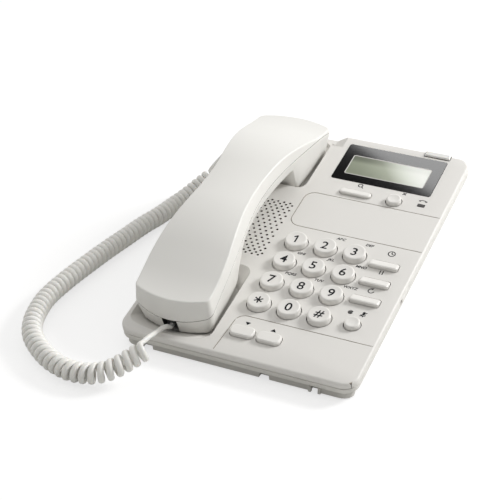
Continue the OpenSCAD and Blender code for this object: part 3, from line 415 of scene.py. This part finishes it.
# ---------- Keys ----------
# Caps moulded in satin ABS stand through the panel on a rubber mat, and the hook plunger and the ringer
# switch are of the same plastic. The dial keys carry printed numbers, and the panel carries the dial's
# letters and a small sign by each function key.
key_plastic = moulded("key_plastic", "E4E2DE", roughness=0.36)
DIAL = ["1", "2", "3", "4", "5", "6", "7", "8", "9", "star", "0", "hash"]
DIAL_MIDDLE, DIAL_PITCH = np.array([16.5, -32.5]), 19.0
CAP_MIDDLE, DISH_D = 3.49, 101.5
PANEL_INK, DIGIT_SIZE, LETTER_SIZE, DIGIT_STROKE, MARK_STROKE = 0.03, 8.9, 2.9, 0.98, 0.88
dress(key_plastic, *[f"key_{name}" for name in DIAL])
dress(key_plastic, "mute_key", "delete_key", "ringer_switch", "hook_plunger")
dress(key_plastic, "memory_key", "flash_key", "redial_key", "search_key", "volume_down_key",
      "volume_up_key", angle=20)
ink = moulded("print_ink", "0B0C12", roughness=0.6, ior=1.3)


def on_cap(flat):
    """Height of the ink on a dial key's dished cap: from its middle up by the square of the distance
    over the diameter of the dish's sphere."""
    return CAP_MIDDLE + (flat ** 2).sum(1) / DISH_D


def place_print(name, flat, faces, place, body, height):
    """Thin ink mark from flat points about its own middle, laid on the panel or on a key's cap."""
    lift = height(flat) if callable(height) else np.full(len(flat), height)
    made = mesh_object(name, from_panel(np.column_stack([flat + place, lift])), faces, ink)
    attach(made, body)
    return made


def letter_mark(name, text, place, size, body, height, bold=0.0, tilt=0.0):
    """Printed text, made a mesh and centred on its place."""
    curve = bpy.data.curves.new(name + "_curve", "FONT")
    curve.body, curve.size = text, size
    curve.align_x, curve.align_y = "CENTER", "CENTER"
    curve.offset, curve.shear = bold * size, tilt
    source = bpy.data.objects.new(name + "_text", curve)
    bpy.context.scene.collection.objects.link(source)
    shape = bpy.data.meshes.new_from_object(
        source.evaluated_get(bpy.context.evaluated_depsgraph_get()))
    bpy.data.objects.remove(source)
    flat = np.zeros(len(shape.vertices) * 3)
    shape.vertices.foreach_get("co", flat)
    flat = flat.reshape(-1, 3)[:, :2]
    faces = [list(p.vertices) for p in shape.polygons]
    return place_print(name, flat - (flat.min(0) + flat.max(0)) / 2, faces, place, body, height)


def stroke_mark(name, strokes, width, place, body, height, fills=()):
    """Drawn sign: each stroke a line of points widened to both sides by half the width along its normal,
    each fill a convex outline."""
    points, faces, n = [], [], 0
    for line in strokes:
        line = np.asarray(line, float)
        if len(line) == 2:
            line = line[0] + np.linspace(0, 1, 5)[:, None] * (line[1] - line[0])
        way = unit(np.gradient(line, axis=0))
        aside = np.column_stack([-way[:, 1], way[:, 0]]) * width / 2
        points.append(np.stack([line - aside, line + aside], 1).reshape(-1, 2))
        faces += [[n + 2 * k, n + 2 * k + 2, n + 2 * k + 3, n + 2 * k + 1] for k in range(len(line) - 1)]
        n += 2 * len(line)
    for outline in fills:
        points.append(np.asarray(outline, float))
        faces.append(list(range(n, n + len(outline))))
        n += len(outline)
    return place_print(name, np.concatenate(points), faces, place, body, height)


def ring(radius, start=0, end=360, middle=(0, 0)):
    """Arc of a circle from one angle to another, in degrees."""
    a = np.radians(np.linspace(start, end, 25))
    return np.column_stack([np.cos(a), np.sin(a)]) * radius + middle


def bar(angle, length, middle=(0, 0)):
    """Straight stroke of a length at an angle in degrees."""
    way = np.array([math.cos(math.radians(angle)), math.sin(math.radians(angle))]) * length / 2
    return np.array([middle - way, middle + way])


for i, name in enumerate(DIAL):
    place = DIAL_MIDDLE + DIAL_PITCH * np.array([i % 3 - 1, 1.5 - i // 3])
    if name == "1":
        stroke_mark("print_1", [[(0.35, -3.1), (0.35, 3.1)], [(0.55, 2.95), (-1.55, 1.45)]],
                    DIGIT_STROKE, place, "key_1", on_cap)
    elif name == "star":
        stroke_mark("print_star", [bar(a, 5.6) for a in (90, 30, 150)],
                    MARK_STROKE, place, "key_star", on_cap)
    elif name == "hash":
        stroke_mark("print_hash", [bar(72, 6.4, (-1.05, 0)), bar(72, 6.4, (1.05, 0)),
                                   bar(0, 5.4, (0.2, 1.05)), bar(0, 5.4, (-0.2, -1.05))],
                    MARK_STROKE, place, "key_hash", on_cap)
    else:
        letter_mark(f"print_{name}", name, place, DIGIT_SIZE, f"key_{name}", on_cap, bold=0.013)
LETTERS = {"2": ("ABC", (5.9, 40.4)), "3": ("DEF", (24.6, 40.3)), "4": ("GHI", (-12.2, 20.6)),
           "5": ("JKL", (6.7, 20.6)), "6": ("MNO", (26.4, 20.4)), "7": ("PQRS", (-11.4, 1.5)),
           "8": ("TUV", (6.9, 1.5)), "9": ("WXYZ", (27.0, 1.6))}
for name, (letters, place) in LETTERS.items():
    letter_mark(f"letters_{name}", letters, DIAL_MIDDLE + place, LETTER_SIZE, "base", PANEL_INK,
                bold=0.03, tilt=0.2)

# A clock, a pause, a ring with an arrow head, a crossed-out microphone, a lens, a cross and a handset
SIGNS = {
    "memory": ((39.6, 37.2), [ring(1.75), bar(90, 1.3, (0, 0.6)), bar(-20, 1.1, (0.5, -0.15))], []),
    "flash": ((39.4, 19.6), [bar(90, 2.9, (-0.7, 0)), bar(90, 2.9, (0.7, 0))], []),
    "redial": ((39.2, 2.7), [ring(1.45, 70, 360)], [[(0.5, 0.9), (1.0, 2.3), (-0.7, 1.75)]]),
    "mute": ((42.0, -17.4), [ring(1.25, 200, 340, (0, 0.2)), bar(90, 0.9, (0, -1.4)), bar(45, 4.2)],
             [rounded_loop(1.3, 2.3, 0.6) + (0, 0.7)]),
    "search": ((-0.8, 92.1), [ring(1.15, middle=(-0.4, 0.4)), bar(-45, 1.5, (0.95, -0.95))], []),
    "delete": ((27.9, 93.2), [bar(45, 2.5), bar(-45, 2.5)], []),
    "in_use": ((41.4, 90.3), [ring(2.6, 50, 130, (0, -2.4))],
               [[(-2.2, -0.9), (-1.1, -0.9), (-1.1, 0), (-2.2, 0)],
                [(1.1, -0.9), (2.2, -0.9), (2.2, 0), (1.1, 0)]])}
SIGN_SIZE, SIGN_STROKE = 1.2, 0.62
for name, (place, strokes, fills) in SIGNS.items():
    strokes, fills = ([SIGN_SIZE * np.asarray(line) for line in lines] for lines in (strokes, fills))
    stroke_mark(f"sign_{name}", strokes, SIGN_STROKE, DIAL_MIDDLE + place, "base", PANEL_INK, fills=fills)
for name, place, triangle in (("quieter", (-18.5, -45.8), [(-1.75, 1.15), (0, -1.25), (1.75, 1.15)]),
                              ("louder", (-2.0, -46.2), [(-1.75, -1.15), (1.75, -1.15), (0, 1.25)])):
    stroke_mark(f"sign_{name}", [], 0, DIAL_MIDDLE + place, "base", PANEL_INK, fills=[triangle])

# ---------- Inside pieces ----------
# The keys' rubber mat lies on the circuit board. The loudspeaker, the hook switch, the jacks and the
# handset's receiver and microphone are in black plastic, the plugs in dark grey plastic and the
# handset's weight is raw steel. All of it shows only through openings.
dress(moulded("mat_rubber", "8D9093", roughness=0.7), "keypad_mat")
dress(moulded("board_mask", "1E5A33", roughness=0.3), "main_pcb")
dress(moulded("black_plastic", "26272A", roughness=0.5), "loudspeaker", "hook_switch", "line_jack",
      "base_jack", "handset_jack", "receiver_capsule", "microphone")
dress(moulded("raw_steel", "6E6F70", roughness=0.5), "handset_weight")
dress(moulded("plug_plastic", "3C3D3F", roughness=0.3), "handset_plug", "base_plug")

# ---------- Handset ----------
# Two moulded shells of satin ABS meet in a fine groove. The back one is arched along and crowned
# across; the front one steps down from the grip to the two cups, with a notch for the plug at the
# mouth end. The handset lies loose in the cradle.
TIP, END_BOW, HALF_WIDE, HALF_GRIP = 99.0, 6.5, 25.2, 18.5
CORNER_SHARP, CORNER_SOFT = 5.5, 9.0
WAIST, FLARE, CROWN, CREASE, LIP = 76, 0.006, 1.56, 1.1, 5
GRIP_TOP, BACK_LEAN = 33, 0.045
ARCH_FLAT, ARCH_R, ARCH_TURN = 18, 120, math.radians(20)
SEAM_TOP, SEAM_DROP = 23.8, 19.6
CUP_UNDER, GRIP_UNDER = -8.2, 13.0
MOUTH_STEP, EAR_STEP = (-30, 22), (40, 9)
BACK_DRAFT, FRONT_DRAFT, MOST_DRAFT = 0.12, 0.13, 3
BOW_START, BOW_POINTS, TURN_POINTS, SIDE_POINTS = 0.006, 22, 14, 119
NOTCH_HALF, NOTCH_DEEP, NOTCH_TOP = 4.75, 12.3, 5.0
EAR_HOLES, MOUTH_HOLES, HOLE_DEEP, HOLE_SIDES = 66, -62, 3.0, 14
HANDSET_MIDDLE = (-44.7, 4.5, 0)


def half_wide(s):
    """Half width: a raised cosine from 18.5 at the grip to 25.2 at 76 mm from the middle."""
    return HALF_GRIP + (HALF_WIDE - HALF_GRIP) / 2 * (1 - np.cos(np.pi * np.minimum(np.abs(s) / WAIST, 1)))


def back_height(s):
    """Height of the back along the handset: flat for 18 mm, then an arc of 120 mm radius through 20
    degrees, then a straight fall that eases at the ends; it leans down 4.5 % towards the ear end."""
    a = np.maximum(np.abs(s) - ARCH_FLAT, 0)
    turn = ARCH_R * math.sin(ARCH_TURN)
    fall = np.where(a < turn, ARCH_R - np.sqrt(np.maximum(ARCH_R ** 2 - a * a, 0)),
                    ARCH_R * (1 - math.cos(ARCH_TURN)) + (a - turn) * math.tan(ARCH_TURN))
    return GRIP_TOP - BACK_LEAN * s + FLARE * np.maximum(np.abs(s) - WAIST, 0) ** 2 - fall


def seam_height(s):
    """Height of the parting line, which falls by the second and fourth powers of the distance."""
    t = np.abs(s) / TIP
    return SEAM_TOP - SEAM_DROP * (0.56 * t ** 2 + 0.44 * t ** 4)


def under_height(s):
    """Underside: the grip, then a smooth step t t (3 - 2 t) down to each cup, from where it begins over
    its length."""
    t = np.clip(np.where(s < 0, (MOUTH_STEP[0] - s) / MOUTH_STEP[1], (s - EAR_STEP[0]) / EAR_STEP[1]), 0, 1)
    return GRIP_UNDER + (CUP_UNDER - GRIP_UNDER) * t * t * (3 - 2 * t)


def outline(corner):
    """Places round the right half of the outline, from the mouth end to the ear end: x, s and the outward
    way. Each end is a wide bow, then a corner arc that touches both the bow and the side."""
    bow = (HALF_WIDE ** 2 + END_BOW ** 2) / (2 * END_BOW)
    cx = HALF_WIDE - corner
    cs = TIP - bow + math.sqrt((bow - corner) ** 2 - cx ** 2)
    join = math.asin(cx / (bow - corner))
    a = np.concatenate([np.linspace(BOW_START, join, BOW_POINTS, endpoint=False),
                        np.linspace(join, np.pi / 2, TURN_POINTS)])
    points = [BOW_POINTS, TURN_POINTS]
    r, x0, s0 = (np.repeat(pair, points) for pair in ([bow, corner], [0, cx], [TIP - bow, cs]))
    end = np.column_stack([x0 + r * np.sin(a), s0 + r * np.cos(a), np.sin(a), np.cos(a)])
    s = np.linspace(-cs, cs, SIDE_POINTS + 2)[1:-1]
    side = np.column_stack([half_wide(s), s, np.ones(SIDE_POINTS), np.zeros(SIDE_POINTS)])
    return np.concatenate([end * (1, -1, 1, -1), side, end[::-1]])


def loft(name, right, material):
    """Closed shell through sections: 'right' holds each section's right half as rows of x, s, h from the
    first seam point to the last; the left half mirrors it, and a ladder of quads closes each end. The
    faces tucked into the seam take the groove's darker colour, which is painted shade."""
    rows, half = right.shape[:2]
    points = np.concatenate([right, right[:, ::-1] * (-1, 1, 1)], 1)
    n = 2 * half
    faces = grid_faces(rows, n).tolist()
    ladder = [[j, j + 1, n - 2 - j, n - 1 - j] for j in range(half - 1)]
    faces += ladder + [[(rows - 1) * n + k for k in f[::-1]] for f in ladder]
    flat = points.reshape(-1, 3)
    made = mesh_object(name, from_panel(flat + HANDSET_MIDDLE), faces, material)
    made.data.materials.append(seam_painted_shade)
    column = np.concatenate([np.tile(np.arange(n), rows - 1), np.tile(np.arange(half - 1), 2)])
    tucked = (column < 2) | ((column > n - 4) & (column < n))
    made.data.polygons.foreach_set("material_index", tucked.astype(np.int32))
    tidy = bmesh.new()
    tidy.from_mesh(made.data)
    bmesh.ops.recalc_face_normals(tidy, faces=tidy.faces)
    tidy.to_mesh(made.data)
    tidy.free()
    return made


def drawn_in(places, step, height):
    """Points drawn in from the outline by a step along its inward way, at a height."""
    return np.column_stack([places[:, 0] - places[:, 2] * step, places[:, 1] - places[:, 3] * step,
                            np.full(len(places), height)])


def crowned(x, s):
    """Height of the back at x: a parabola across that rises 1.56 mm, less towards the ends by the fourth
    power of the distance."""
    return back_height(s) + CROWN * (1 - (s / TIP) ** 4) * (1 - (x / half_wide(s)) ** 2)


def back_shell(material):
    """Back shell: a tucked-in lower edge, a side with 12 % draft, a rounded crease, the crowned back."""
    p = outline(CORNER_SHARP)
    seam, r = seam_height(p[:, 1]), CREASE
    draft = (back_height(p[:, 1]) - r - seam) * BACK_DRAFT
    edge = drawn_in(p, draft + r, 0)
    top = crowned(edge[:, 0], edge[:, 1])
    rows = [drawn_in(p, 3.0, seam + 0.02), drawn_in(p, 0.7, seam + 0.12), drawn_in(p, 0.16, seam + 0.2),
            drawn_in(p, 0.03, seam + 0.35)]
    rows += [drawn_in(p, 0.01 + draft * t, seam + 0.5 + (top - r - seam - 0.5) * t)
             for t in np.linspace(0, 1, 7)[:-1]]
    for a in np.radians(np.linspace(0, 90, 9)):
        arc = drawn_in(p, draft + r * (1 - math.cos(a)), 0)
        rows.append(np.column_stack([arc[:, :2], top - r * (1 - math.sin(a))]))
    for k in np.linspace(1, 0.02, 20)[1:]:
        rows.append(np.column_stack([edge[:, 0] * k, edge[:, 1], crowned(edge[:, 0] * k, edge[:, 1])]))
    return loft("handset_back", np.stack(rows, 1), material)


def front_shell(material):
    """Front shell: side from the seam with 13 % draft, a rounded lower edge and a flat underside. Its
    corners are sharper at the seam and softer below."""
    sharp, soft = outline(CORNER_SHARP), outline(CORNER_SOFT)
    rows = []

    def softened(t):
        """Outline at the share t of the way from the sharp corners to the soft ones."""
        return sharp + (soft - sharp) * t

    seam, under = seam_height(sharp[:, 1]), under_height(sharp[:, 1])
    tall = seam - under
    r = np.minimum(np.minimum(LIP, tall * 0.45), half_wide(sharp[:, 1]) * 0.5)
    draft = np.minimum(tall * FRONT_DRAFT, MOST_DRAFT)
    for step, drop in ((3.0, 0.02), (0.7, 0.08), (0.14, 0.14), (0.02, 0.28)):
        rows.append(drawn_in(sharp, step, seam - drop))
    for t in np.linspace(0, 1, 9)[:-1]:
        q = drawn_in(softened(t * 0.7), draft * t, 0)
        rows.append(np.column_stack([q[:, :2], seam - 0.45 + (under + r - seam + 0.45) * t]))
    for a in np.radians(np.linspace(0, 90, 9)):
        q = drawn_in(softened(0.7 + 0.3 * a / (np.pi / 2)), draft + r * (1 - math.cos(a)), 0)
        rows.append(np.column_stack([q[:, :2], under + r * (1 - math.sin(a))]))
    last = rows[-1]
    for k in (0.7, 0.4, 0.02):
        rows.append(last * (k, 1, 1))
    return loft("handset_front", np.stack(rows, 1), material)


def drilled(shell, boxes, holes, inner):
    """Cuts boxes (low and high corner) and round holes (x, s, radius, depth from 1 mm under the cups)
    out of a shell with one boolean, applied at once; the cut faces take the inner material, a painted shade."""
    cutter = bmesh.new()
    for low, high in boxes:
        made = bmesh.ops.create_cube(cutter, size=1)["verts"]
        for v in made:
            v.co = Vector([low[k] if v.co[k] < 0 else high[k] for k in range(3)])
    for x, s, radius, depth in holes:
        made = bmesh.ops.create_cone(cutter, cap_ends=True, segments=HOLE_SIDES, radius1=radius,
                                     radius2=radius, depth=depth)["verts"]
        for v in made:
            v.co += Vector((x, s, CUP_UNDER - 1 + depth / 2))
    mesh = bpy.data.meshes.new("cutter")
    cutter.to_mesh(mesh)
    cutter.free()
    flat = np.zeros(len(mesh.vertices) * 3)
    mesh.vertices.foreach_get("co", flat)
    mesh.vertices.foreach_set("co", from_panel(flat.reshape(-1, 3) + HANDSET_MIDDLE).ravel())
    mesh.polygons.foreach_set("material_index",
                              np.full(len(mesh.polygons), len(shell.data.materials), np.int32))
    shell.data.materials.append(inner)
    tool = bpy.data.objects.new("cutter", mesh)
    bpy.context.scene.collection.objects.link(tool)
    cut = shell.modifiers.new("cut", "BOOLEAN")
    cut.object, cut.operation, cut.solver = tool, "DIFFERENCE", "EXACT"
    done = bpy.data.meshes.new_from_object(shell.evaluated_get(bpy.context.evaluated_depsgraph_get()))
    shell.modifiers.clear()
    shell.data = done
    bpy.data.objects.remove(tool)


# The seam groove's faces are coloured darker: painted shade in the groove
seam_painted_shade = moulded("seam_groove_painted_shade", "7A736B", roughness=0.6)
handset_plastic = moulded("handset_plastic", "E9E8E4", roughness=0.42, grain=0.45)
back = back_shell(handset_plastic)
front = front_shell(handset_plastic)
# The cut faces of the notch and the holes are coloured dark brown grey: painted shade
drilled(front, [((-NOTCH_HALF, -TIP - 2, CUP_UNDER - 1), (NOTCH_HALF, -TIP + NOTCH_DEEP, NOTCH_TOP))],
        [(x, EAR_HOLES + y, 0.9, HOLE_DEEP) for x in range(-8, 9, 4) for y in range(-8, 9, 4)
         if math.hypot(x, y) < 10] + [(x, MOUTH_HOLES, 0.8, HOLE_DEEP) for x in (-3, 0, 3)],
        moulded("notch_shade", "2A2826", roughness=0.7))
for shell, node in ((back, "handset_back_shell"), (front, "handset_front_shell")):
    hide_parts(node)
    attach(shell, "handset")

# ---------- Curly handset cord ----------
# A flat four-wire lead in soft PVC, wound into curls, with a short straight lead and a plug at each
# end. It leaves the handset's mouthpiece end, lies on the table and runs round to the jack in the
# case's left side.
CORD_D, CURL_D, CURLS = 3.4, 13.0, 68
STRAND_THICK, STRAND_WIDE, STRAND_SIDES = 2.95, 3.9, 14
CURL_RINGS, COIL_FINE, LEAD_FINE = 24, 8, 6
CURL_SPREAD, WAY_STEP = 0.16, 1.5
CASE_HALF, CASE_FRONT = 105.75, 12.8
HANDSET_EXIT = from_panel([HANDSET_MIDDLE[0], -90.5, -1.7])[0] / MM
BASE_EXIT = from_panel([-70.0, 70.0, -15.6])[0] / MM
FRONT_FOOT = np.array([HANDSET_MIDDLE[0], PANEL_MIDDLE[1] - CASE_HALF * math.cos(SLOPE), 0.0])
COIL_LIE = CURL_D / 2 + 0.2
COIL_STEPS = np.array([
    [2, -24, 13.4], [-3, -28.5, 9.7], [-11, -36.5, 5.2], [-21, -41.5, 2], [-34, -42.5, 0.4], [-45, -40, 0],
    [-56, -35, 0], [-67, -27, 0], [-75, -19, 0], [-81, -9, 0], [-85, 2, 0], [-88, 16, 0], [-88.5, 29, 0],
    [-87.5, 47, 0], [-85.5, 66, 0], [-83, 86, 0], [-80, 105, 0], [-77, 124, 0], [-73.5, 139, 0]], float)
COIL_END = np.array([[-46, -21, 0], [-42.5, -8, 1.5], [-38, 4, 5], [-32.5, 14.5, 9.5]], float)


def smooth_line(route, per_leg):
    """Catmull-Rom curve through a route: a cubic on each leg, with the slope at a point half the way
    from the point before it to the point after it."""
    n = len(route)
    t = np.linspace(0, n - 1, per_leg * (n - 1) + 1)
    i = np.minimum(t.astype(int), n - 2)
    f = (t - i)[:, None]
    a, b, c, d = (route[np.clip(i + k, 0, n - 1)] for k in (-1, 0, 1, 2))
    return b + f / 2 * ((c - a) + f * ((2 * a - 5 * b + 4 * c - d) + f * (3 * b - a - 3 * c + d)))


def curl_line(middle):
    """Helix about a middle line: middle + r (cos a top + sin a side), where a makes one round for each
    curl. The share u of the turns lies at the share u + 0.16 u (1 - u)^2 of the line, so that the curls
    stand a little wider apart where the coil bends by the handset."""
    run = np.concatenate([[0], np.cumsum(np.linalg.norm(np.diff(middle, axis=0), axis=1))])

    def at(s):
        """Places on the middle line at given distances along it."""
        return np.stack([np.interp(s, run, middle[:, k]) for k in range(3)], 1)

    u = np.arange(CURL_RINGS * CURLS + 1) / (CURL_RINGS * CURLS)
    s = run[-1] * (u + CURL_SPREAD * u * (1 - u) ** 2)
    way = unit(at(s + WAY_STEP) - at(s - WAY_STEP))
    side = unit(np.cross([0, 0, 1], way))
    top = np.cross(way, side)
    a = 2 * np.pi * CURLS * u[:, None]
    out = np.cos(a) * top + np.sin(a) * side
    return at(s) + (CURL_D - CORD_D) / 2 * out, out


def carried(line, out):
    """Outward ways along a line that starts with the way 'out', each turned as little as the line turns."""
    ways = [out]
    for step in unit(np.gradient(line, axis=0))[1:]:
        ways.append(unit(ways[-1] - (ways[-1] @ step) * step))
    return np.array(ways)


def strand(name, line, out, thick, wide, sides, material):
    """Oval tube along a line, point + thick/2 cos b out + wide/2 sin b across, with 'across' square to
    the line and to 'out'."""
    way = unit(np.gradient(line, axis=0))
    out = unit(out - (out * way).sum(1, keepdims=True) * way)
    across = np.cross(way, out)
    b = np.linspace(0, 2 * np.pi, sides, endpoint=False)[None, :, None]
    rings = line[:, None] + (np.cos(b) * out[:, None] * thick + np.sin(b) * across[:, None] * wide) / 2
    faces = [*grid_faces(len(line), sides).tolist(), list(range(sides))[::-1],
             list(range(sides * (len(line) - 1), sides * len(line)))]
    return mesh_object(name, rings.reshape(-1, 3) * MM, faces, material)


cord_skin = moulded("cord_pvc", "ECEBE7", roughness=0.34, grain=0.9, depth=0.01, soft=0.12)
coil_route = np.concatenate([
    FRONT_FOOT + COIL_STEPS + [0, 0, COIL_LIE],
    [*BASE_EXIT[:2], COIL_LIE] + COIL_END])
curl_points, curl_out = curl_line(smooth_line(coil_route, COIL_FINE))
front_edge = FRONT_FOOT + [0, 0, CASE_FRONT]
handset_way = np.array([0, -math.cos(SLOPE), -math.sin(SLOPE)])
lead_in = smooth_line(np.array([
    HANDSET_EXIT + CORD_D * handset_way, front_edge + [-1, 6.8, 3.6], front_edge + [-2, -1.6, 4.9],
    front_edge + [-2.2, -11.4, 6.9], front_edge + [-0.8, -20.4, 9.6],
    curl_points[0], curl_points[3]]), LEAD_FINE)
lead_out = smooth_line(np.array([
    curl_points[-4], curl_points[-1], BASE_EXIT + [-26, 20, -3], BASE_EXIT + [-20, 13, 0.6],
    BASE_EXIT + [-12, 3, 0.8], BASE_EXIT + [-CORD_D - 2, 0, 0], BASE_EXIT + [-CORD_D, 0, 0]]), LEAD_FINE)
lead_in = np.concatenate([[HANDSET_EXIT], lead_in[:-LEAD_FINE - 1]])
lead_out = np.concatenate([lead_out[LEAD_FINE + 1:], [BASE_EXIT]])
cord_line = np.concatenate([lead_in, curl_points, lead_out])
cord_out = np.concatenate([
    carried(np.concatenate([curl_points[:1], lead_in[::-1]]), curl_out[0])[:0:-1], curl_out,
    carried(np.concatenate([curl_points[-1:], lead_out]), curl_out[-1])[1:]])
cord = strand("handset_cord", cord_line, cord_out, STRAND_THICK, STRAND_WIDE, STRAND_SIDES, cord_skin)
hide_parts("curly_cord")
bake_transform(cord)
